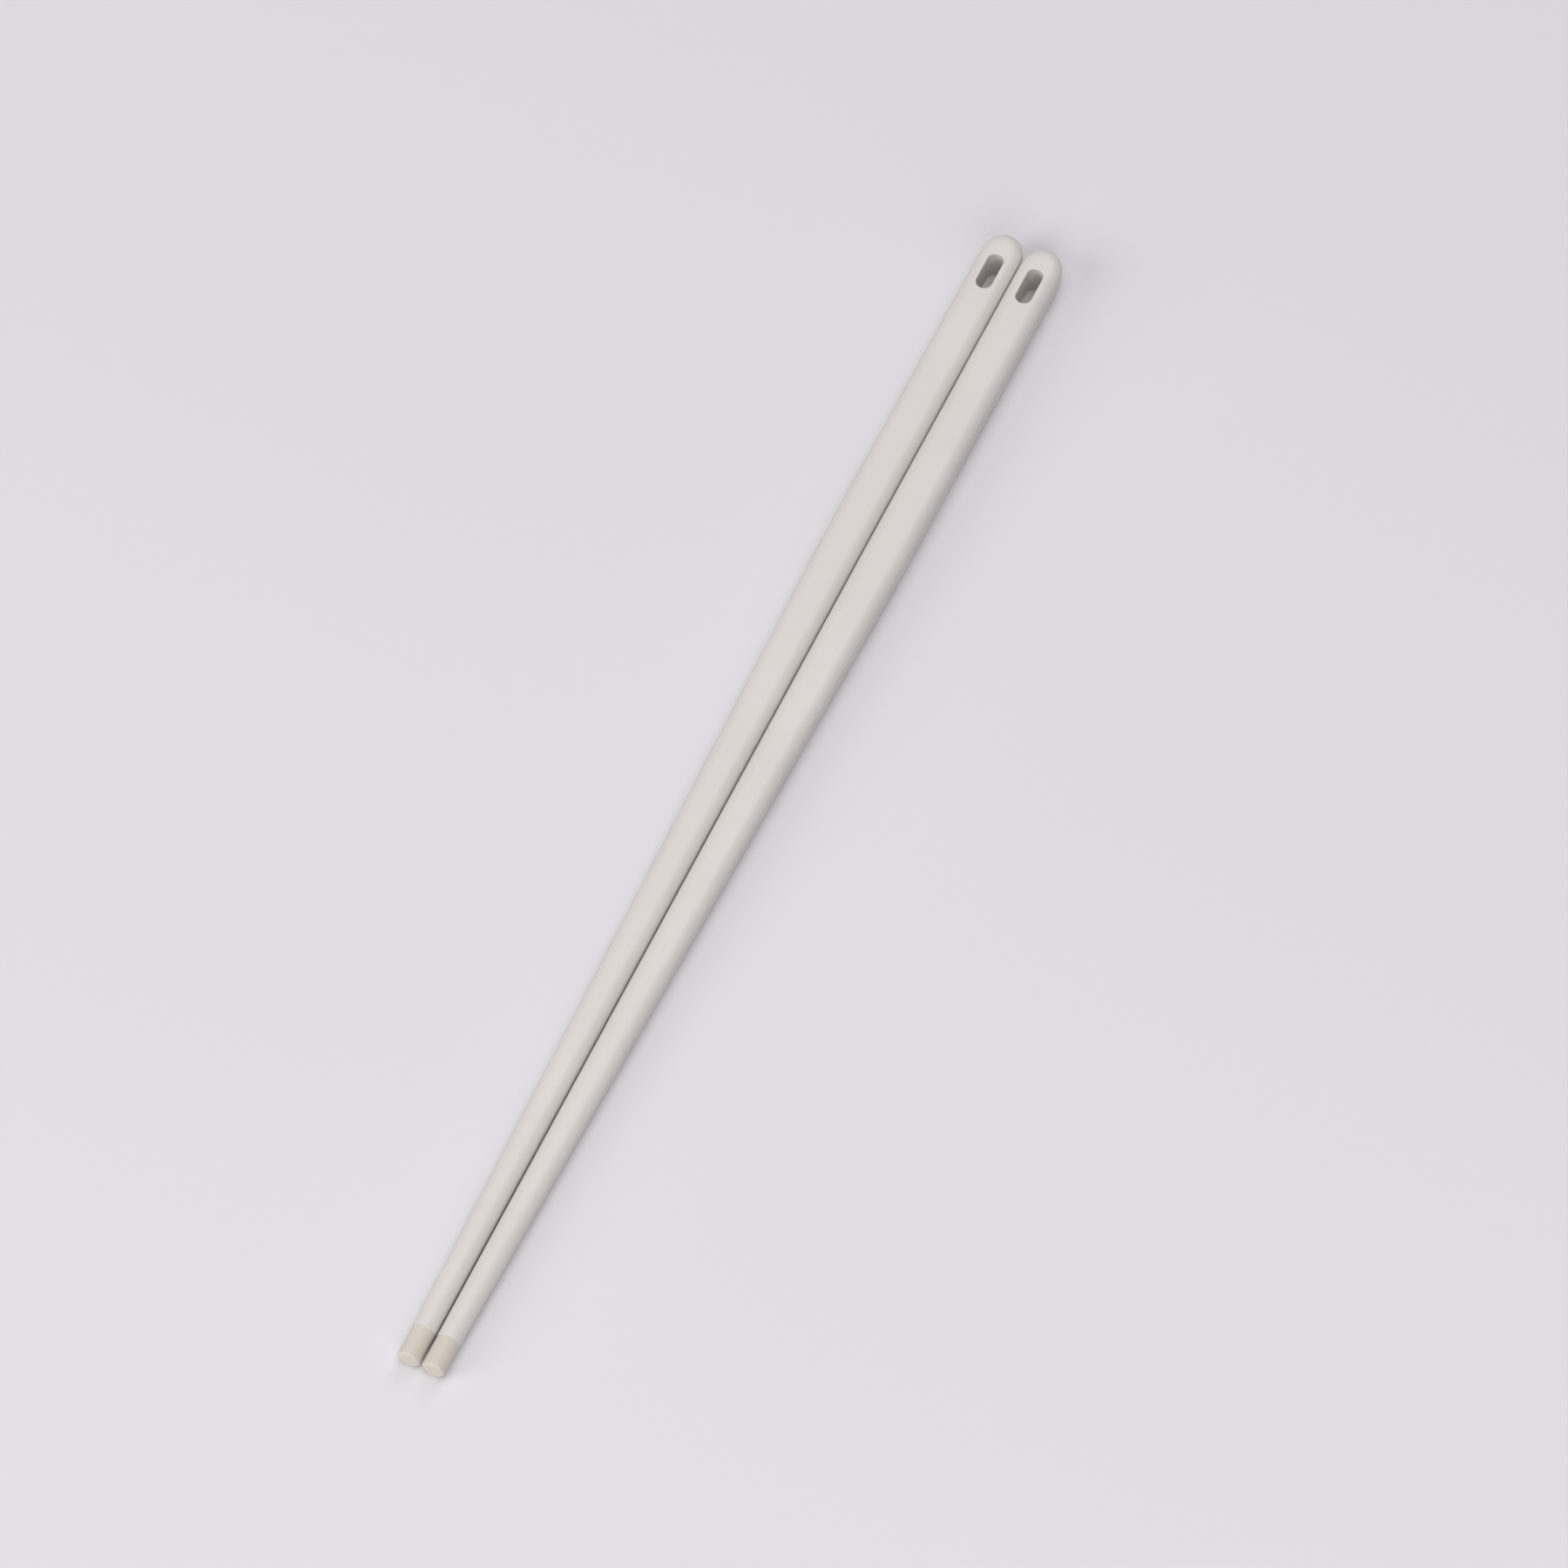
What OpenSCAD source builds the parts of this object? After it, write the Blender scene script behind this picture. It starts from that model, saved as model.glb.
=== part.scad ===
// A pair of long cooking chopsticks, lying side by side on a table.
// Each stick is one plastic moulding. A round neck grows into a handle with a
// rounded-square section, which ends in an oval crown with a hanging slot.
// A softer tip piece is moulded over a spigot with a locking collar at the neck.
// A stick's inner flank and underside are straight, so that it lies level and
// close to the other one. Its outer flank and top carry the whole taper.
// The left stick is the mirror image of the right one.
// Length runs along Y with the crowns at +Y, and Z is up from the table.

/* [Stick] */
// Length of a stick, from the end face of its tip piece to the top of its crown
stick_l = 300; // [240:1:340]
// Length of the even part of the handle, from the end of the taper to the crown
handle_l = 89; // [60:1:130]
// Width of the handle, across the pair
handle_w = 9.3; // [8.6:0.1:11]
// Thickness of the handle, from its top to its underside
handle_t = 8; // [7:0.1:9]
// Radius of the handle's long edges, which the crown's edge grows out of
edge_r = 2.6; // [1.6:0.1:3.2]
// Length of the crown, half an ellipse in plan
crown_l = 6; // [4.7:0.1:8]
// Diameter of the round neck, where the tip piece begins
neck_d = 5.1; // [4.8:0.1:6]

/* [Hanging slot] */
// Length of the slot from end to end
slot_l = 9.7; // [7:0.1:13]
// Width of the slot
slot_w = 3.6; // [3:0.1:4.4]
// Distance from the top of the crown to the middle of the slot
slot_inset = 11.8; // [9:0.1:14]
// How far the slot's mouths flare, at 45 degrees
slot_flare = 0.2; // [0.1:0.05:0.5]

/* [Tip piece] */
// Length of the tip piece
tip_l = 7; // [6:0.1:12]
// Diameter of the tip piece
tip_d = 4.9; // [4.6:0.1:5.1]
// Radius of the rim round the tip's end face
tip_rim_r = 0.4; // [0.2:0.05:0.6]
// Solid length between the tip's end face and its socket
tip_end_t = 1.7; // [1.2:0.1:2.4]

/* [Spigot] */
// Diameter of the spigot that the tip piece is moulded over
spigot_d = 2.8; // [2.2:0.1:3]
// Diameter of the collar that locks the tip piece on
collar_d = 3.6; // [3.3:0.1:3.8]
// Length of the collar's cylindrical part
collar_l = 1; // [0.6:0.1:1.4]
// Distance from the shoulder of the neck to the collar's steep side
collar_set = 1.8; // [1.2:0.1:2]
// Clearance round the spigot and at its end
socket_gap = 0.02; // [0.01:0.01:0.05]

/* [Pair] */
// Gap between the inner flanks at the crowns
crown_gap = 0.15; // [0.1:0.05:1]
// Gap between the inner flanks at the tips
tip_gap = 0.35; // [0.1:0.05:2]

/* [Hidden] */
eps = 0.01;
slice_t = 0.02;
neck_r = neck_d / 2;
handle_r = handle_w / 2;
taper_end = stick_l - handle_l;
slot_straight = slot_l - slot_w;
spigot_l = tip_l - tip_end_t - socket_gap;
collar_h = (collar_d - spigot_d) / 2;
// The sticks close up towards their crowns
pair_yaw = asin((tip_gap - crown_gap) / 2 / stick_l);

// The spigot with its locking collar along +Y, grown by gap on every side
module spigot(gap) {
    lead_l = min(spigot_l - collar_set - collar_l, 2 * collar_h);
    translate([neck_r, tip_l, neck_r])
        rotate([90, 0, 0])
            union() {
                translate([0, 0, -eps])
                    cylinder(h = spigot_l + gap + eps, d = spigot_d + 2 * gap, $fn = 48);
                translate([0, 0, collar_set - gap])
                    cylinder(h = collar_l + 2 * gap, d = collar_d + 2 * gap, $fn = 48);
                translate([0, 0, collar_set + collar_l + gap - eps])
                    cylinder(
                        h = lead_l,
                        d1 = collar_d + 2 * gap,
                        d2 = spigot_d + 2 * gap,
                        $fn = 48
                    );
            }
}

// Half of the handle's section, from the crown's axis outwards, with its round edges
module crown_profile() {
    flat_r = handle_r - edge_r;
    square([flat_r, handle_t]);
    translate([0, edge_r])
        square([handle_r, handle_t - 2 * edge_r]);
    for (y = [edge_r, handle_t - edge_r])
        translate([flat_r, y])
            intersection() {
                circle(r = edge_r, $fn = 40);
                translate([0, -edge_r])
                    square([edge_r, 2 * edge_r]);
            }
}

// The lofted outside: a neck disc, a rounded square at the end of the taper, and the crown.
// The inner flank is the plane X = 0 and the underside is the plane Z = 0.
module stick_outside() {
    hull() {
        translate([neck_r, tip_l + slice_t, neck_r])
            rotate([90, 0, 0])
                cylinder(h = slice_t, r = neck_r, $fn = 48);
        for (x = [edge_r, handle_w - edge_r])
            for (z = [edge_r, handle_t - edge_r])
                translate([x, taper_end, z])
                    rotate([90, 0, 0])
                        cylinder(h = slice_t, r = edge_r, $fn = 48);
        translate([handle_r, stick_l - crown_l, 0])
            scale([1, crown_l / handle_r, 1])
                rotate_extrude($fn = 56)
                    crown_profile();
    }
}

// One mouth of the slot, flaring up to the plane Z = 0
module slot_mouth() {
    half = slot_straight / 2;
    narrow_r = slot_w / 2;
    wide_r = slot_w / 2 + slot_flare + eps;
    for (y = [-half, half])
        translate([0, y, -slot_flare])
            cylinder(h = slot_flare + eps, r1 = narrow_r, r2 = wide_r, $fn = 48);
    translate([0, half, 0])
        rotate([90, 0, 0])
            linear_extrude(slot_straight)
                polygon([
                    [-narrow_r, -slot_flare],
                    [narrow_r, -slot_flare],
                    [wide_r, eps],
                    [-wide_r, eps]
                ]);
}

// The hanging slot, right through the handle, with a flared mouth on each side
module hanging_slot() {
    half = slot_straight / 2;
    translate([handle_r, stick_l - slot_inset, 0]) {
        for (y = [-half, half])
            translate([0, y, -1])
                cylinder(h = handle_t + 2, d = slot_w, $fn = 48);
        translate([-slot_w / 2, -half, -1])
            cube([slot_w, slot_straight, handle_t + 2]);
        translate([0, 0, handle_t])
            slot_mouth();
        rotate([0, 180, 0])
            slot_mouth();
    }
}

// A whole stick with its spigot
module stick() {
    difference() {
        stick_outside();
        hanging_slot();
    }
    spigot(0);
}

// Half of the tip piece's section, with a round rim at its end face
module tip_profile() {
    flat_r = tip_d / 2 - tip_rim_r;
    square([flat_r, tip_l]);
    translate([0, tip_rim_r])
        square([tip_d / 2, tip_l - tip_rim_r]);
    translate([flat_r, tip_rim_r])
        circle(r = tip_rim_r, $fn = 32);
}

// A tip piece, with a socket that takes the spigot and its collar
module tip_piece() {
    difference() {
        translate([neck_r, 0, neck_r])
            rotate([-90, 0, 0])
                rotate_extrude($fn = 96)
                    tip_profile();
        spigot(socket_gap);
    }
}

// Lays a piece of the right stick beside the middle of the pair
module lay() {
    translate([tip_gap / 2, -stick_l / 2, 0])
        rotate([0, 0, pair_yaw])
            children();
}

module left_stick() {
    color([0.85, 0.83, 0.81])
        mirror([1, 0, 0])
            lay()
                stick();
}

module left_tip() {
    color([0.81, 0.78, 0.72])
        mirror([1, 0, 0])
            lay()
                tip_piece();
}

module right_stick() {
    color([0.85, 0.83, 0.81])
        lay()
            stick();
}

module right_tip() {
    color([0.81, 0.78, 0.72])
        lay()
            tip_piece();
}

left_stick();
left_tip();
right_stick();
right_tip();
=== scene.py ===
"""The looks of a pair of cooking chopsticks that lie side by side on a pale table.

Each stick is one matte plastic moulding with a hanging slot, and carries a darker
silicone tip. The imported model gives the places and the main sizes, and the classes
below model each piece as a smooth mesh, give it its finish, and set up the table,
the light and the camera. All lengths are in metres.
"""

from __future__ import annotations

import logging
import math
from collections.abc import Sequence
from dataclasses import dataclass, field
from enum import Enum
from typing import Any

import bmesh
import bpy
from mathutils import Matrix, Vector


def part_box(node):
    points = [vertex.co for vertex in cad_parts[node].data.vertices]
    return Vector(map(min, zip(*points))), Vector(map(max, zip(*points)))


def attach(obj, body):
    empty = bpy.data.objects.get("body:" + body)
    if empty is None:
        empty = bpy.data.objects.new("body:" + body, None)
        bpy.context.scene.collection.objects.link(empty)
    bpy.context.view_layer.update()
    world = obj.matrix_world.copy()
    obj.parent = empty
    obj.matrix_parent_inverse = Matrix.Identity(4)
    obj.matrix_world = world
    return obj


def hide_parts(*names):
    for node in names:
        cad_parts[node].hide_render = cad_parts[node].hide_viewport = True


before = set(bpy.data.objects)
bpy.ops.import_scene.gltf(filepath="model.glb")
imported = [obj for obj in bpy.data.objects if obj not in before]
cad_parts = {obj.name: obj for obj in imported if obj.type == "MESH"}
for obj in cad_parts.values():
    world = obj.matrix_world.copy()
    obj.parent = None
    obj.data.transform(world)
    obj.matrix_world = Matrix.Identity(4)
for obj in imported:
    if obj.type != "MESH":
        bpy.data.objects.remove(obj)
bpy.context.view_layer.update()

LOG = logging.getLogger("chopsticks")
MM = 0.001
QUARTER = math.pi / 2
ACROSS = Vector((1, 0, 0))
ALONG = Vector((0, 1, 0))
UP = Vector((0, 0, 1))
HAIR = 0.001 * MM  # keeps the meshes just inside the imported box
SAME_PLANE = 0.0005 * MM  # how far from a plane a vertex that lies in it may be
SAME_PLACE = 0.004 * MM  # vertices closer than this are one
SHARP_EDGE = math.radians(40)  # a steeper turn between two faces shows as an edge
NOISE_LOW, NOISE_HIGH = 0.3, 0.7  # the levels that a noise pattern keeps between


class Side(Enum):
    """Which stick of the pair a piece belongs to, as the sign of its X."""

    LEFT = -1
    RIGHT = 1

    def node(self, piece: str) -> str:
        """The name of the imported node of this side's piece."""
        return f"{self.name.lower()}_{piece}"


def linear(hex_colour: str) -> tuple[float, float, float, float]:
    """Turns an sRGB hex colour to linear.

    Args:
        hex_colour: six hex digits, such as "D9D4CE".

    Returns:
        Red, green, blue and an alpha of 1.
    """
    channels = [int(hex_colour[i : i + 2], 16) / 255 for i in (0, 2, 4)]
    red, green, blue = (
        c / 12.92 if c <= 0.04045 else ((c + 0.055) / 1.055) ** 2.4 for c in channels
    )
    return red, green, blue, 1.0


def add_node(
    tree: bpy.types.NodeTree,
    kind: str,
    inputs: dict[str | int, Any] | None = None,
    **settings: Any,
) -> bpy.types.Node:
    """Adds one shader node.

    Args:
        tree: the node tree that gets the node.
        kind: Blender's name of the node type.
        inputs: for each input, by name or number, its value or the socket that
            feeds it.
        **settings: the node's own properties.

    Returns:
        The new node.
    """
    node = tree.nodes.new(kind)
    for name, value in settings.items():
        setattr(node, name, value)
    for socket, value in (inputs or {}).items():
        if isinstance(value, bpy.types.NodeSocket):
            tree.links.new(value, node.inputs[socket])
        else:
            node.inputs[socket].default_value = value
    return node


def new_material(name: str) -> tuple[bpy.types.Material, bpy.types.NodeTree]:
    """Starts a material.

    Args:
        name: the material's name.

    Returns:
        The new material and its node tree, which is empty.
    """
    material = bpy.data.materials.new(name)
    material.use_nodes = True
    material.node_tree.nodes.clear()
    return material, material.node_tree


@dataclass(frozen=True)
class MouldedFinish:
    """A matte moulded surface: a fine spark-eroded grain over a faintly mottled tone.

    Attributes:
        name: the material's name.
        tone_light: the lighter of the two tones, as sRGB hex.
        tone_dark: the darker of the two tones, as sRGB hex.
        tone_patch: size of a patch of one tone.
        grain: width of a grain of the moulded texture, drawn coarse enough to show.
        grain_depth: depth of that grain.
        roughness: lowest and highest roughness.
        ior: index of refraction.
        specular: specular level, 0.5 for a plain dielectric.
        sheen: weight of the soft sheen that an elastomer has at grazing angles.
    """

    name: str
    tone_light: str
    tone_dark: str
    tone_patch: float
    grain: float
    grain_depth: float
    roughness: tuple[float, float]
    ior: float = 1.5
    specular: float = 0.5
    sheen: float = 0.0

    def material(self) -> bpy.types.Material:
        """Builds the material, with all its patterns on Object coordinates.

        Returns:
            The new material.
        """
        material, tree = new_material(self.name)
        place = add_node(tree, "ShaderNodeTexCoord").outputs["Object"]
        patch = add_node(
            tree,
            "ShaderNodeTexNoise",
            {
                "Vector": place,
                "Scale": 1 / self.tone_patch,
                "Detail": 3.0,
                "Roughness": 0.55,
            },
        ).outputs["Fac"]
        tone = add_node(
            tree,
            "ShaderNodeMapRange",
            {"Value": patch, "From Min": NOISE_LOW, "From Max": NOISE_HIGH},
        ).outputs["Result"]
        # A Mix node takes two colours at inputs 6 and 7, and gives one at output 2
        colour = add_node(
            tree,
            "ShaderNodeMix",
            {0: tone, 6: linear(self.tone_dark), 7: linear(self.tone_light)},
            data_type="RGBA",
        ).outputs[2]
        grain = add_node(
            tree,
            "ShaderNodeTexNoise",
            {"Vector": place, "Scale": 1 / self.grain, "Detail": 2.0, "Roughness": 0.6},
        ).outputs["Fac"]
        shine = add_node(
            tree,
            "ShaderNodeMapRange",
            {
                "Value": grain,
                "From Min": NOISE_LOW,
                "From Max": NOISE_HIGH,
                "To Min": self.roughness[0],
                "To Max": self.roughness[1],
            },
        ).outputs["Result"]
        bump = add_node(
            tree,
            "ShaderNodeBump",
            {"Height": grain, "Strength": 1.0, "Distance": self.grain_depth},
        ).outputs["Normal"]
        shader = add_node(
            tree,
            "ShaderNodeBsdfPrincipled",
            {
                "Base Color": colour,
                "Roughness": shine,
                "IOR": self.ior,
                "Specular IOR Level": self.specular,
                "Sheen Weight": self.sheen,
                "Normal": bump,
            },
        )
        add_node(tree, "ShaderNodeOutputMaterial", {"Surface": shader.outputs["BSDF"]})
        return material


# Glass-filled nylon, moulded against a spark-eroded tool: matte, with a fine even grain
NYLON = MouldedFinish(
    name="moulded_nylon",
    tone_light="D6D0CD",
    tone_dark="D2CCC9",
    tone_patch=24 * MM,
    grain=0.35 * MM,
    grain_depth=0.006 * MM,
    roughness=(0.46, 0.58),
)

# Silicone, moulded over the neck: warmer and darker, and its soft skin blurs each glint
SILICONE = MouldedFinish(
    name="moulded_silicone",
    tone_light="D0C8BF",
    tone_dark="CCC4B9",
    tone_patch=5 * MM,
    grain=0.3 * MM,
    grain_depth=0.004 * MM,
    roughness=(0.55, 0.68),
    ior=1.41,
    sheen=0.05,
)


@dataclass(frozen=True)
class BoardFinish:
    """The table's top: uncoated pale board with a faint fibre.

    Attributes:
        tone: the board's colour, as sRGB hex.
        fibre: length of a fibre clump.
        fibre_depth: height of a fibre clump.
        fibre_show: how much of that height shows, from 0 to 1.
        roughness: roughness of the uncoated surface.
        fade: distances from the pair between which the board's plain tone takes over.
    """

    tone: str = "DDDBDF"
    fibre: float = 1.2 * MM
    fibre_depth: float = 0.01 * MM
    fibre_show: float = 0.3
    roughness: float = 0.95
    fade: tuple[float, float] = (0.4, 1.6)

    def material(self) -> bpy.types.Material:
        """Builds the board's material, which shows as its plain tone far from the pair.

        Returns:
            The new material.
        """
        material, tree = new_material("pale_board")
        place = add_node(tree, "ShaderNodeTexCoord").outputs["Object"]
        fibre = add_node(
            tree,
            "ShaderNodeTexNoise",
            {"Vector": place, "Scale": 1 / self.fibre, "Detail": 4.0},
        ).outputs["Fac"]
        bump = add_node(
            tree,
            "ShaderNodeBump",
            {
                "Height": fibre,
                "Strength": self.fibre_show,
                "Distance": self.fibre_depth,
            },
        ).outputs["Normal"]
        shader = add_node(
            tree,
            "ShaderNodeBsdfPrincipled",
            {
                "Base Color": linear(self.tone),
                "Roughness": self.roughness,
                "Specular IOR Level": 0.0,
                "Normal": bump,
            },
        ).outputs["BSDF"]
        reach = add_node(
            tree, "ShaderNodeVectorMath", {0: place}, operation="LENGTH"
        ).outputs["Value"]
        near, far = self.fade
        faded = add_node(
            tree,
            "ShaderNodeMapRange",
            {"Value": reach, "From Min": near, "From Max": far},
            interpolation_type="SMOOTHSTEP",
        ).outputs["Result"]
        seen = add_node(tree, "ShaderNodeLightPath").outputs["Is Camera Ray"]
        share = add_node(
            tree, "ShaderNodeMath", {0: faded, 1: seen}, operation="MULTIPLY"
        ).outputs[0]
        plain = add_node(tree, "ShaderNodeEmission", {"Color": linear(self.tone)})
        mixed = add_node(
            tree, "ShaderNodeMixShader", {0: share, 1: shader, 2: plain.outputs[0]}
        )
        add_node(tree, "ShaderNodeOutputMaterial", {"Surface": mixed.outputs[0]})
        return material


class Shell:
    """A bmesh that is grown from points and rings by extrusion and spinning."""

    def __init__(self) -> None:
        """Starts an empty mesh."""
        self.bm = bmesh.new()

    def point(self, place: Vector) -> list[Any]:
        """Adds one vertex, the start of a profile."""
        return [self.bm.verts.new(place)]

    def line(self, end: list[Any], move: Vector) -> list[Any]:
        """Extrudes a profile's last vertex.

        Args:
            end: the last vertex, in a list.
            move: how far the new vertex lies from it.

        Returns:
            The new last vertex, in a list.
        """
        grown = bmesh.ops.extrude_vert_indiv(self.bm, verts=end)["verts"]
        bmesh.ops.translate(self.bm, verts=grown, vec=move)
        return grown

    def arc(
        self,
        geometry: list[Any],
        centre: Vector,
        axis: Vector,
        angle: float,
        steps: int,
    ) -> list[Any]:
        """Spins vertices or a whole profile about an axis.

        Args:
            geometry: the vertices and edges that turn.
            centre: a point on the axis.
            axis: the axis's direction.
            angle: how far they turn.
            steps: number of steps in that angle.

        Returns:
            The vertices and edges at the end of the turn.
        """
        return bmesh.ops.spin(
            self.bm, geom=geometry, cent=centre, axis=axis, angle=angle, steps=steps
        )["geom_last"]

    def push(self, geometry: Sequence[Any], move: Vector) -> list[Any]:
        """Extrudes edges and moves what they become.

        Args:
            geometry: edges, with or without their vertices.
            move: how far the new edges lie from the old ones.

        Returns:
            The new edges and their vertices.
        """
        edges = [g for g in geometry if isinstance(g, bmesh.types.BMEdge)]
        grown = bmesh.ops.extrude_edge_only(self.bm, edges=edges)["geom"]
        verts = [g for g in grown if isinstance(g, bmesh.types.BMVert)]
        fresh = set(verts)
        rim = [
            g
            for g in grown
            if isinstance(g, bmesh.types.BMEdge) and fresh.issuperset(g.verts)
        ]
        bmesh.ops.translate(self.bm, verts=verts, vec=move)
        return [*verts, *rim]

    def shrink(self, geometry: Sequence[Any], factor: float, centre: Vector) -> None:
        """Scales a ring across the stick only.

        Args:
            geometry: the ring's vertices, with or without its edges.
            factor: the new size for each unit of the old one.
            centre: the point that stays.
        """
        verts = [g for g in geometry if isinstance(g, bmesh.types.BMVert)]
        bmesh.ops.scale(
            self.bm,
            verts=verts,
            vec=(factor, 1, factor),
            space=Matrix.Translation(-centre),
        )

    def merge(self) -> None:
        """Joins the vertices that lie on each other."""
        bmesh.ops.remove_doubles(self.bm, verts=self.bm.verts, dist=SAME_PLACE)

    def edges_at(self, axis: int, value: float) -> list[bmesh.types.BMEdge]:
        """The edges that lie in a plane across an axis.

        Args:
            axis: 0, 1 or 2 for X, Y or Z.
            value: where the plane lies on that axis.

        Returns:
            Every edge with both ends in the plane.
        """
        return [
            edge
            for edge in self.bm.edges
            if all(abs(v.co[axis] - value) < SAME_PLANE for v in edge.verts)
        ]

    def finish(
        self, name: str, place: Matrix, material: bpy.types.Material
    ) -> bpy.types.Object:
        """Turns the mesh into an object.

        Args:
            name: the object's name.
            place: the move into the row's frame, which may mirror the mesh.
            material: the finish of the whole piece.

        Returns:
            The object, at the origin, with its place in its mesh.
        """
        self.merge()
        bmesh.ops.transform(self.bm, matrix=place, verts=self.bm.verts)
        bmesh.ops.recalc_face_normals(self.bm, faces=self.bm.faces)
        mesh = bpy.data.meshes.new(name)
        self.bm.to_mesh(mesh)
        self.bm.free()
        mesh.shade_smooth()
        mesh.set_sharp_from_angle(angle=SHARP_EDGE)
        mesh.materials.append(material)
        piece = bpy.data.objects.new(name, mesh)
        bpy.context.scene.collection.objects.link(piece)
        shading = piece.modifiers.new("even_shading", "WEIGHTED_NORMAL")
        shading.keep_sharp = True
        return piece


@dataclass(frozen=True)
class StickSizes:
    """The sizes of a stick with its tip piece, as it was modelled.

    In a stick's own frame the inner flank is X = 0, the underside is Z = 0 and the
    tip's end face is Y = 0. The crown is at +Y.
    """

    length: float
    thickness: float
    width: float = 9.3 * MM
    handle_length: float = 89 * MM
    edge_radius: float = 2.6 * MM
    crown_length: float = 6 * MM
    neck_radius: float = 2.55 * MM
    slot_length: float = 9.7 * MM
    slot_width: float = 3.6 * MM
    slot_inset: float = 11.8 * MM
    slot_rim: float = 0.25 * MM
    tip_length: float = 7 * MM
    tip_radius: float = 2.45 * MM
    tip_rim: float = 0.45 * MM
    tip_end: float = 1.7 * MM
    spigot_radius: float = 1.4 * MM
    collar_radius: float = 1.8 * MM
    collar_length: float = 1 * MM
    collar_set: float = 1.8 * MM
    collar_lead: float = 2.0  # length of its lead-in for each unit of its height
    socket_gap: float = 0.02 * MM
    crown_gap: float = 0.15 * MM
    tip_gap: float = 0.35 * MM

    @classmethod
    def from_frame(cls) -> StickSizes:
        """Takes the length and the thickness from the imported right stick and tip.

        Returns:
            The sizes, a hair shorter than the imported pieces.
        """
        tip_low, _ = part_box("right_tip")
        stick_low, stick_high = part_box("right_stick")
        length = stick_high.y - tip_low.y - 2 * HAIR
        return cls(length=length, thickness=stick_high.z - stick_low.z)

    @property
    def neck(self) -> Vector:
        """The point of the neck's axis at the shoulder."""
        return Vector((self.neck_radius, self.tip_length, self.neck_radius))

    @property
    def crown(self) -> Vector:
        """The foot of the crown's upright axis, where the handle's flanks end."""
        return Vector((self.width / 2, self.length - self.crown_length, 0))

    @property
    def taper_end(self) -> float:
        """Y of the end of the taper, where the even handle begins."""
        return self.length - self.handle_length

    def place(self, side: Side) -> Matrix:
        """The move from a stick's own frame to its side of the pair.

        Args:
            side: the side, which mirrors the left stick.

        Returns:
            The move, with the slight turn that closes the pair up at the crowns.
        """
        yaw = math.asin((self.tip_gap - self.crown_gap) / 2 / self.length)
        lay = Matrix.Translation((self.tip_gap / 2, -self.length / 2, 0))
        mirror = Matrix.Diagonal((side.value, 1, 1, 1))
        return mirror @ lay @ Matrix.Rotation(yaw, 4, "Z")


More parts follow.
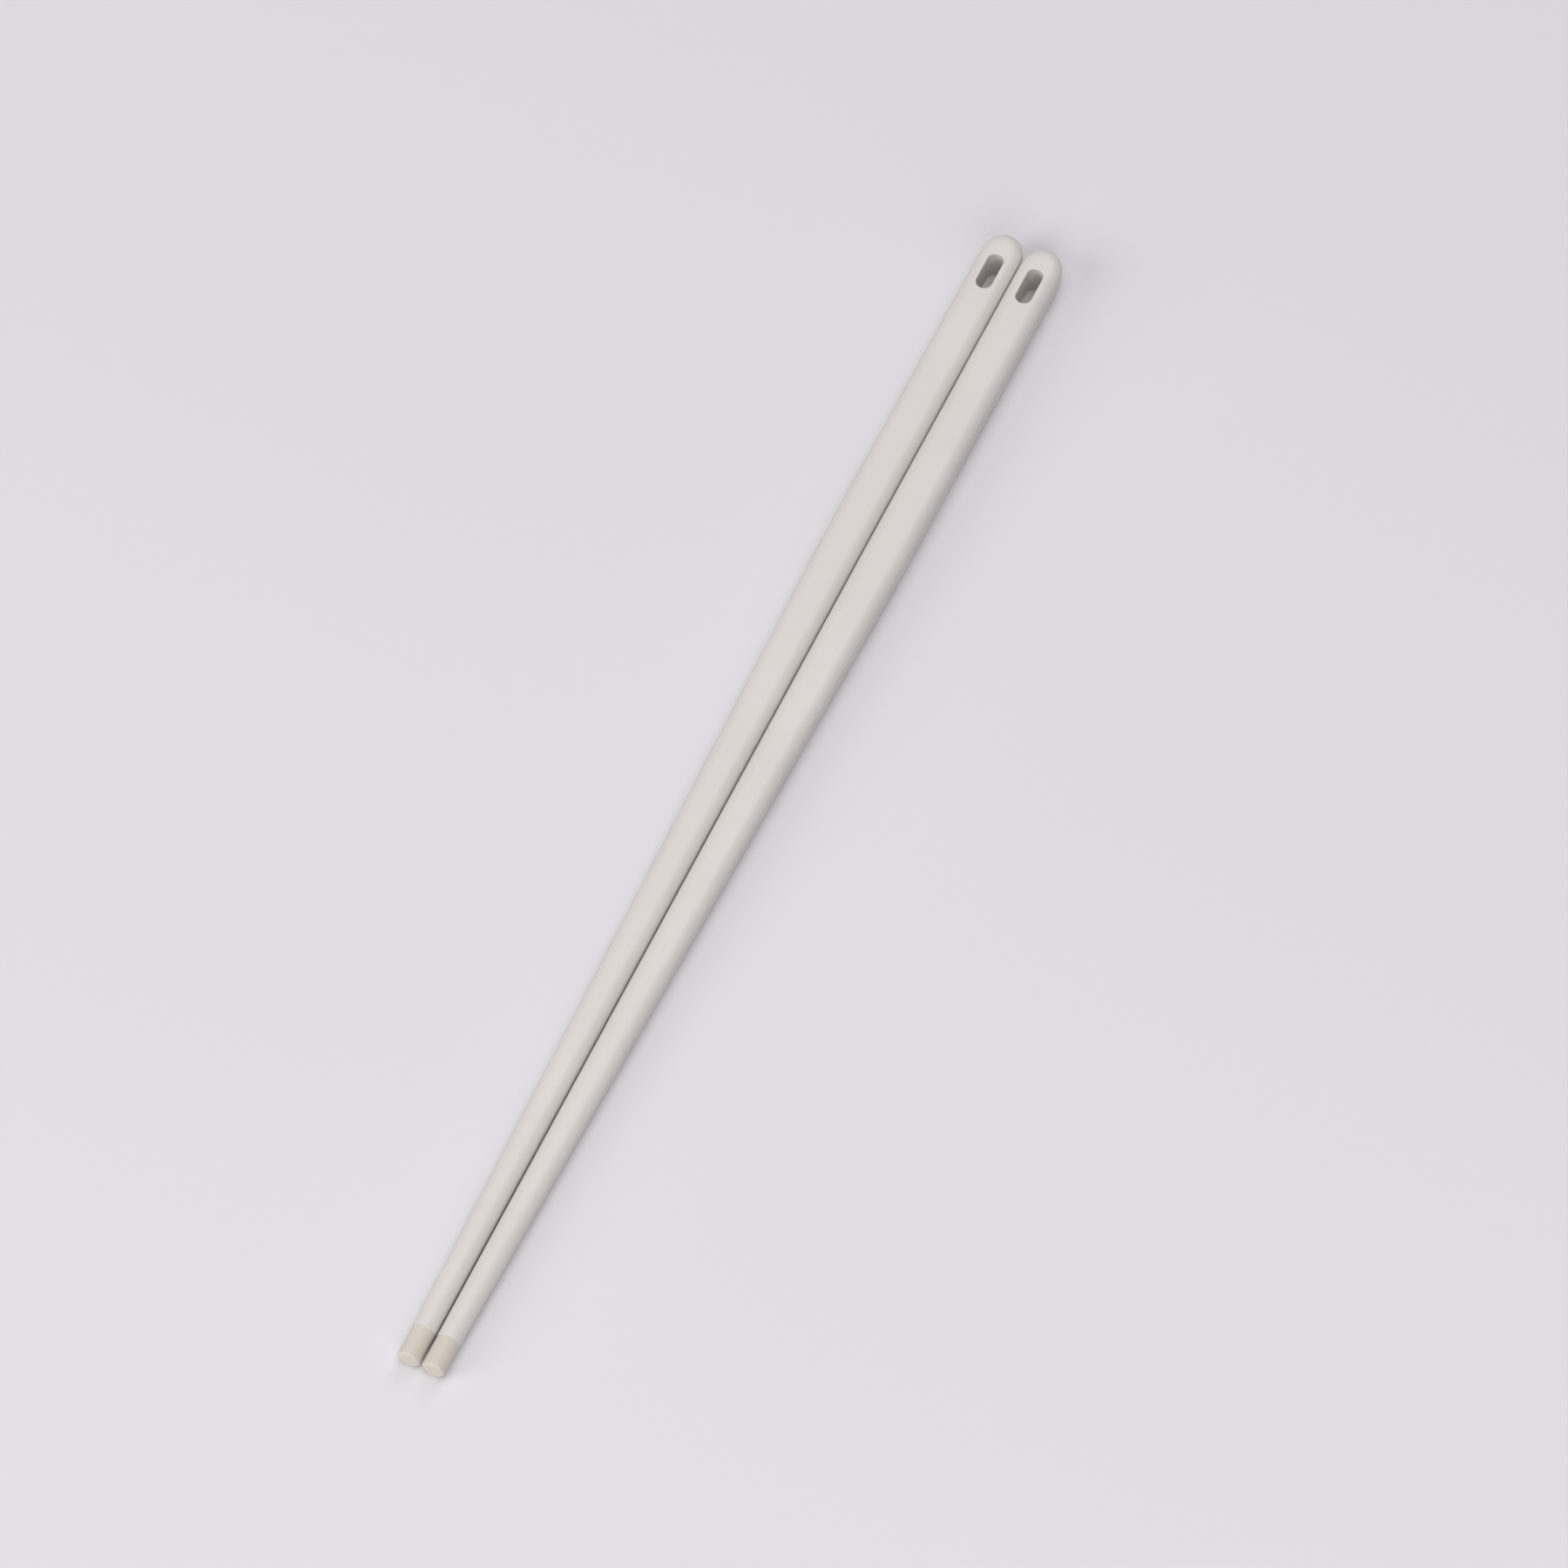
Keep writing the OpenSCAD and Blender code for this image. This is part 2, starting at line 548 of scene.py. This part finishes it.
@dataclass
class Stick:
    """One plastic moulding: neck, tapered shaft, handle, crown, slot and spigot.

    Attributes:
        side: which stick of the pair it is.
        sizes: the pair's sizes.
        edge_steps: steps in each round edge of the handle.
        crown_steps: steps round the crown.
        slot_steps: steps round each end of the slot.
        rim_steps: steps in the round rim of a slot's mouth.
        slot_clear: how far past the slot the flats round its mouths run.
        bend: half the length over which the taper eases into the handle.
        bend_rings: sections in that bend.
        taper_rings: sections in the straight taper.
        shoulder_round: radius of the shoulder where the neck ends.
        shoulder_steps: steps in that round.
        shell: the mesh as it grows.
    """

    side: Side
    sizes: StickSizes
    edge_steps: int = 12
    crown_steps: int = 64
    slot_steps: int = 32
    rim_steps: int = 6
    slot_clear: float = 3 * MM
    bend: float = 6 * MM
    bend_rings: int = 9
    taper_rings: int = 12
    shoulder_round: float = 0.1 * MM
    shoulder_steps: int = 3
    shell: Shell = field(default_factory=Shell)

    def _crown(self) -> None:
        """Spins half a section round the crown, and runs its ends past the slot."""
        s = self.sizes
        edge, flat = s.edge_radius, s.width / 2 - s.edge_radius
        top = Vector((flat, 0, s.thickness)) + s.crown
        end = self.shell.point(top)
        end = self.shell.arc(end, top - UP * edge, ALONG, QUARTER, self.edge_steps)
        end = self.shell.line(end, UP * (2 * edge - s.thickness))
        foot = s.crown + Vector((flat, 0, edge))
        self.shell.arc(end, foot, ALONG, QUARTER, self.edge_steps)
        section = [*self.shell.bm.verts, *self.shell.bm.edges]
        far = self.shell.arc(section, s.crown, UP, math.pi, self.crown_steps)
        bmesh.ops.scale(
            self.shell.bm,
            verts=self.shell.bm.verts,
            vec=(1, 2 * s.crown_length / s.width, 1),
            space=Matrix.Translation(-s.crown),
        )
        back = ALONG * (self._slot_block - s.crown.y)
        self.shell.push(section, back)
        self.shell.push(far, back)

    @property
    def _slot_block(self) -> float:
        """Y of the section just short of the slot, where the shaft takes over."""
        s = self.sizes
        return s.length - s.slot_inset - s.slot_length / 2 - self.slot_clear

    def _slot(self) -> None:
        """Makes the slot's wall, with a round rim at each mouth."""
        s = self.sizes
        half = (s.slot_length - s.slot_width) / 2
        middle = Vector((s.width / 2, s.length - s.slot_inset, 0))
        reach = s.slot_width / 2 + s.slot_rim
        before = set(self.shell.bm.verts)
        lip = middle + Vector((reach, half, s.thickness))
        end = self.shell.point(lip)
        centre = lip - UP * s.slot_rim
        end = self.shell.arc(end, centre, ALONG, -QUARTER, self.rim_steps)
        end = self.shell.line(end, UP * (2 * s.slot_rim - s.thickness))
        foot = middle + Vector((reach, half, s.slot_rim))
        self.shell.arc(end, foot, ALONG, -QUARTER, self.rim_steps)
        wall = [v for v in self.shell.bm.verts if v not in before]
        edges = {edge for v in wall for edge in v.link_edges}
        first = [*wall, *edges]
        reach_y = ALONG * half
        last = self.shell.arc(first, middle + reach_y, UP, math.pi, self.slot_steps)
        last = self.shell.push(last, -2 * reach_y)
        last = self.shell.arc(last, middle - reach_y, UP, math.pi, self.slot_steps)
        self.shell.push(last, 2 * reach_y)
        self.shell.merge()

    def _flats(self) -> None:
        """Closes the section behind the slot, and fills the flats round its mouths."""
        s = self.sizes
        bm = self.shell.bm
        for height in (0.0, s.thickness):
            ends = [
                v
                for v in bm.verts
                if abs(v.co.y - self._slot_block) < SAME_PLANE
                and abs(v.co.z - height) < SAME_PLANE
            ]
            bmesh.ops.contextual_create(bm, geom=ends)
            bmesh.ops.triangle_fill(
                bm,
                use_beauty=True,
                edges=self.shell.edges_at(2, height),
                normal=UP if height else -UP,
            )

    def _section_point(self, place: Vector, share: float) -> tuple[float, float]:
        """Where a point of the handle's section goes on a section down the taper.

        Args:
            place: the point on the handle's section.
            share: 1 at the handle and 0 at the neck.

        Returns:
            X and Z on the section there.
        """
        s = self.sizes
        edge = s.edge_radius
        corner = Vector(
            (
                edge if place.x < s.width / 2 else s.width - edge,
                0,
                edge if place.z < s.thickness / 2 else s.thickness - edge,
            )
        )
        facing = (place - corner) / edge
        centre = s.neck.lerp(corner, share)
        radius = s.neck_radius * (1 - share) + edge * share
        return centre.x + facing.x * radius, centre.z + facing.z * radius

    def _share(self, y: float) -> float:
        """How much of the handle's section is left at a point of the shaft.

        The taper is straight, and eases into the even handle over a short bend.

        Args:
            y: the point's Y.

        Returns:
            1 at the handle, and down to 0 at the neck.
        """
        taper = self.sizes.taper_end - self.sizes.tip_length
        short = self.sizes.taper_end - y
        if short <= -self.bend:
            return 1.0
        if short < self.bend:
            return 1 - (self.bend + short) ** 2 / (4 * self.bend * taper)
        return 1 - short / taper

    def _shaft(self) -> None:
        """Extrudes the section from behind the slot, down the taper and to the neck."""
        s = self.sizes
        ring: list[Any] = self.shell.edges_at(1, self._slot_block)
        section = {v: v.co.copy() for edge in ring for v in edge.verts}
        half = (self.bend_rings - 1) / 2
        stations = [
            s.taper_end + self.bend * (1 - i / half) for i in range(self.bend_rings)
        ]
        start = stations[-1]
        step = (start - s.tip_length - self.shoulder_round) / self.taper_rings
        stations += [start - step * (i + 1) for i in range(self.taper_rings)]
        y = self._slot_block
        for next_y in stations:
            ring = self.shell.push(ring, ALONG * (next_y - y))
            section = self._follow(section, ring)
            share = self._share(next_y)
            for vert, place in section.items():
                vert.co.x, vert.co.z = self._section_point(place, share)
            y = next_y
        self.shell.merge()

    @staticmethod
    def _follow(section: dict[Any, Vector], ring: list[Any]) -> dict[Any, Vector]:
        """Hands each place on the handle's section on to the vertex extruded there.

        Args:
            section: for each vertex of the old ring, its place on the section.
            ring: the vertices and edges of the ring that was extruded from it.

        Returns:
            The same places for the vertices of the new ring.
        """
        fresh = {g for g in ring if isinstance(g, bmesh.types.BMVert)}
        return {
            edge.other_vert(vert): place
            for vert, place in section.items()
            for edge in vert.link_edges
            if edge.other_vert(vert) in fresh
        }

    def _spigot(self) -> None:
        """Rounds the shoulder, and runs the neck on as the spigot with its collar."""
        s = self.sizes
        neck_y = s.tip_length + self.shoulder_round
        ring: list[Any] = self.shell.edges_at(1, neck_y)
        radius, y = s.neck_radius, neck_y
        collar_y = s.tip_length - s.collar_set
        collar_end = collar_y - s.collar_length
        lead = s.collar_lead * (s.collar_radius - s.spigot_radius)
        steps = self.shoulder_steps
        turns = [QUARTER * (i + 1) / steps for i in range(steps)]
        outline = [
            (
                s.neck_radius - self.shoulder_round * (1 - math.cos(turn)),
                neck_y - self.shoulder_round * math.sin(turn),
            )
            for turn in turns
        ]
        outline += [
            (s.spigot_radius, s.tip_length),
            (s.spigot_radius, collar_y),
            (s.collar_radius, collar_y),
            (s.collar_radius, collar_end),
            (s.spigot_radius, collar_end - lead),
            (s.spigot_radius, s.tip_end + s.socket_gap),
        ]
        for next_radius, next_y in outline:
            ring = self.shell.push(ring, ALONG * (next_y - y))
            middle = Vector((s.neck.x, next_y, s.neck.z))
            self.shell.shrink(ring, next_radius / radius, middle)
            radius, y = next_radius, next_y
        edges = [g for g in ring if isinstance(g, bmesh.types.BMEdge)]
        bmesh.ops.edgeloop_fill(self.shell.bm, edges=edges)

    def build(self, material: bpy.types.Material) -> bpy.types.Object:
        """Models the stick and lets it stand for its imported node.

        Args:
            material: the stick's finish.

        Returns:
            The finished piece.
        """
        self._crown()
        self._slot()
        self._flats()
        self._shaft()
        self._spigot()
        name = f"{self.side.name.lower()}_moulding"
        piece = self.shell.finish(name, self.sizes.place(self.side), material)
        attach(piece, "root")
        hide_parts(self.side.node("stick"))
        return piece


@dataclass
class Tip:
    """The silicone sleeve with a closed end, moulded over the spigot.

    Attributes:
        side: which stick it belongs to.
        sizes: the pair's sizes.
        turns: steps round the sleeve.
        rim_steps: steps in the round rim of its end face.
        back_round: radius of its edge at the shoulder.
        back_steps: steps in that round.
        shell: the mesh as it grows.
    """

    side: Side
    sizes: StickSizes
    turns: int = 96
    rim_steps: int = 8
    back_round: float = 0.08 * MM
    back_steps: int = 3
    shell: Shell = field(default_factory=Shell)

    def _section(self) -> None:
        """Draws half of the section, from the end face to the socket's bottom."""
        s = self.sizes
        axis = Vector((s.neck.x, 0, s.neck.z))
        gap = s.socket_gap
        bore, groove = s.spigot_radius + gap, s.collar_radius + gap
        flat = s.tip_radius - s.tip_rim
        end = self.shell.point(axis)
        end = self.shell.line(end, ACROSS * flat)
        rim = axis + ACROSS * flat + ALONG * s.tip_rim
        end = self.shell.arc(end, rim, UP, QUARTER, self.rim_steps)
        end = self.shell.line(end, ALONG * (s.tip_length - s.tip_rim - self.back_round))
        back = axis + ACROSS * (s.tip_radius - self.back_round)
        back += ALONG * (s.tip_length - self.back_round)
        end = self.shell.arc(end, back, UP, QUARTER, self.back_steps)
        groove_y = s.tip_length - s.collar_set + gap
        groove_end = groove_y - s.collar_length - 2 * gap
        corners = [
            (bore, s.tip_length),
            (bore, groove_y),
            (groove, groove_y),
            (groove, groove_end),
            (bore, groove_end - s.collar_lead * (groove - bore)),
            (bore, s.tip_end),
            (0.0, s.tip_end),
        ]
        radius, y = s.tip_radius - self.back_round, s.tip_length
        for next_radius, next_y in corners:
            move = ACROSS * (next_radius - radius) + ALONG * (next_y - y)
            end = self.shell.line(end, move)
            radius, y = next_radius, next_y

    def build(self, material: bpy.types.Material) -> bpy.types.Object:
        """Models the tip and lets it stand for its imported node.

        Args:
            material: the tip's finish.

        Returns:
            The finished piece.
        """
        self._section()
        bm = self.shell.bm
        bmesh.ops.spin(
            bm,
            geom=[*bm.verts, *bm.edges],
            cent=self.sizes.neck,
            axis=ALONG,
            angle=2 * math.pi,
            steps=self.turns,
            use_merge=True,
        )
        name = f"{self.side.name.lower()}_sleeve"
        piece = self.shell.finish(name, self.sizes.place(self.side), material)
        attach(piece, "root")
        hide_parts(self.side.node("tip"))
        return piece


@dataclass(frozen=True)
class SoftLight:
    """A wide soft light from far away, which lights the whole table evenly.

    Attributes:
        name: the light's name.
        azimuth: where it stands round the pair, from +X towards +Y, in degrees.
        elevation: its height over the table, in degrees.
        share: part of the light on the table's top that comes from it.
        spread: how wide it looks from the pair, in degrees.
        distance: how far from the pair it hangs, which only tells in a lamp's light.
    """

    name: str
    azimuth: float
    elevation: float
    share: float
    spread: float = 36.0
    distance: float = 2.0

    @property
    def towards(self) -> Vector:
        """The direction from the pair to the light."""
        turn, rise = math.radians(self.azimuth), math.radians(self.elevation)
        level = math.cos(rise)
        return Vector((math.cos(turn) * level, math.sin(turn) * level, math.sin(rise)))

    def _source(self) -> bpy.types.Light:
        """Makes the light itself.

        Returns:
            A light with the power that gives its share at the pair.
        """
        source = bpy.data.lights.new(self.name, "SUN")
        source.angle = math.radians(self.spread)
        source.energy = self.share * math.pi / self.towards.z
        return source

    def build(self) -> None:
        """Hangs the light, facing the pair."""
        holder = bpy.data.objects.new(self.name, self._source())
        holder.location = self.towards * self.distance
        holder.rotation_euler = self.towards.to_track_quat("Z", "Y").to_euler()
        bpy.context.scene.collection.objects.link(holder)


@dataclass(frozen=True)
class SoftLamp(SoftLight):
    """A large round lamp, so near that the table's near side is a little brighter."""

    def _source(self) -> bpy.types.Light:
        """Makes the lamp itself.

        Returns:
            A lamp with the power that gives its share at the pair.
        """
        half = math.radians(self.spread / 2)
        source = bpy.data.lights.new(self.name, "AREA")
        source.shape = "DISK"
        source.size = 2 * self.distance * math.tan(half)
        facing = self.towards.z * math.cos(half) ** 2
        source.energy = self.share * (math.pi * self.distance) ** 2 / facing
        return source


@dataclass
class Stage:
    """The table, the soft lights over the sticks and the pale surroundings.

    Attributes:
        floor_width: width of the table's top.
        surround: strength of the even light from all round.
        surround_tone: its colour, as sRGB hex.
        lights: the soft lights, whose shares and the surround add up to about one.
    """

    floor_width: float = 6.0
    surround: float = 0.02
    surround_tone: str = "FFFFFF"
    lights: tuple[SoftLight, ...] = (
        SoftLight("overhead", 0, 90, 0.49, spread=60),
        SoftLight("back", 90, 42, 0.146, spread=32),
        SoftLamp("front_left", 225, 26, 0.19, distance=3.4),
        SoftLamp("front_right", 300, 26, 0.165, spread=46, distance=2.4),
    )

    def build_floor(self, finish: BoardFinish) -> None:
        """Lays the table's top under the pair.

        Args:
            finish: the board's finish.
        """
        bm = bmesh.new()
        bmesh.ops.create_grid(bm, x_segments=1, y_segments=1, size=self.floor_width / 2)
        mesh = bpy.data.meshes.new("table_top")
        bm.to_mesh(mesh)
        bm.free()
        mesh.materials.append(finish.material())
        floor = bpy.data.objects.new("table_top", mesh)
        bpy.context.scene.collection.objects.link(floor)

    def build_surround(self, board: BoardFinish) -> None:
        """Lights the scene evenly, and shows the board's tone all round and in gloss.

        Args:
            board: the finish whose colour shows at the horizon.
        """
        world = bpy.data.worlds.new("surround")
        world.use_nodes = True
        tree = world.node_tree
        tree.nodes.clear()
        rays = add_node(tree, "ShaderNodeLightPath").outputs
        seen = rays["Is Camera Ray"]
        for ray in ("Is Glossy Ray", "Is Transmission Ray"):
            seen = add_node(
                tree, "ShaderNodeMath", {0: seen, 1: rays[ray]}, operation="MAXIMUM"
            ).outputs[0]
        light = add_node(
            tree,
            "ShaderNodeBackground",
            {"Color": linear(self.surround_tone), "Strength": self.surround},
        ).outputs[0]
        horizon = add_node(
            tree, "ShaderNodeBackground", {"Color": linear(board.tone), "Strength": 1.0}
        ).outputs[0]
        mixed = add_node(tree, "ShaderNodeMixShader", {0: seen, 1: light, 2: horizon})
        add_node(tree, "ShaderNodeOutputWorld", {"Surface": mixed.outputs[0]})
        bpy.context.scene.world = world

    def build(self) -> None:
        """Sets up the table and the light, with plain colours."""
        board = BoardFinish()
        self.build_floor(board)
        self.build_surround(board)
        for light in self.lights:
            light.build()
        bpy.context.scene.view_settings.view_transform = "Standard"


@dataclass
class PhotoCamera:
    """The camera at the photograph's angle, worked out for a frame of 1800 by 1800.

    Attributes:
        azimuth: turn of the view, 0 along the sticks, in degrees.
        elevation: height of the view over the table, in degrees.
        roll: turn about the view's own axis, in degrees.
        distance: from the point on the table at the frame's middle.
        target: that point.
        focal_pixels: focal length in pixels of the frame.
        frame_pixels: width and height of the frame.
        sensor: width of the sensor, in millimetres.
        clip: nearest and furthest distance that shows.
    """

    azimuth: float = 23.84
    elevation: float = 58.86
    roll: float = 1.26
    distance: float = 1.3696
    target: Vector = field(default_factory=lambda: Vector((7.86, 4.45, 0)) * MM)
    focal_pixels: float = 7500.0
    frame_pixels: float = 1800.0
    sensor: float = 36.0
    clip: tuple[float, float] = (0.01, 100.0)

    def build(self) -> None:
        """Adds the camera and makes it the scene's own."""
        turn, rise, roll = map(math.radians, (self.azimuth, self.elevation, self.roll))
        level = math.cos(rise)
        back = Vector((math.sin(turn) * level, -math.cos(turn) * level, math.sin(rise)))
        right = Vector((math.cos(turn), math.sin(turn), 0))
        above = back.cross(right)
        rolled_right = right * math.cos(roll) + above * math.sin(roll)
        rolled_above = above * math.cos(roll) - right * math.sin(roll)
        axes = Matrix((rolled_right, rolled_above, back)).transposed()
        data = bpy.data.cameras.new("photo_camera")
        data.sensor_width = self.sensor
        data.lens = self.focal_pixels / self.frame_pixels * self.sensor
        data.clip_start, data.clip_end = self.clip
        camera = bpy.data.objects.new("photo_camera", data)
        place = axes.to_4x4()
        place.translation = self.target + back * self.distance
        camera.matrix_world = place
        bpy.context.scene.collection.objects.link(camera)
        bpy.context.scene.camera = camera


def main() -> None:
    """Builds every piece of the pair, then the stage and the camera."""
    logging.basicConfig(level=logging.INFO, format="%(name)s: %(message)s")
    sizes = StickSizes.from_frame()
    nylon, silicone = NYLON.material(), SILICONE.material()
    for side in Side:
        for piece in (
            Stick(side, sizes).build(nylon),
            Tip(side, sizes).build(silicone),
        ):
            LOG.info("%s has %d faces", piece.name, len(piece.data.polygons))
    Stage().build()
    PhotoCamera().build()


if __name__ == "__main__":
    main()
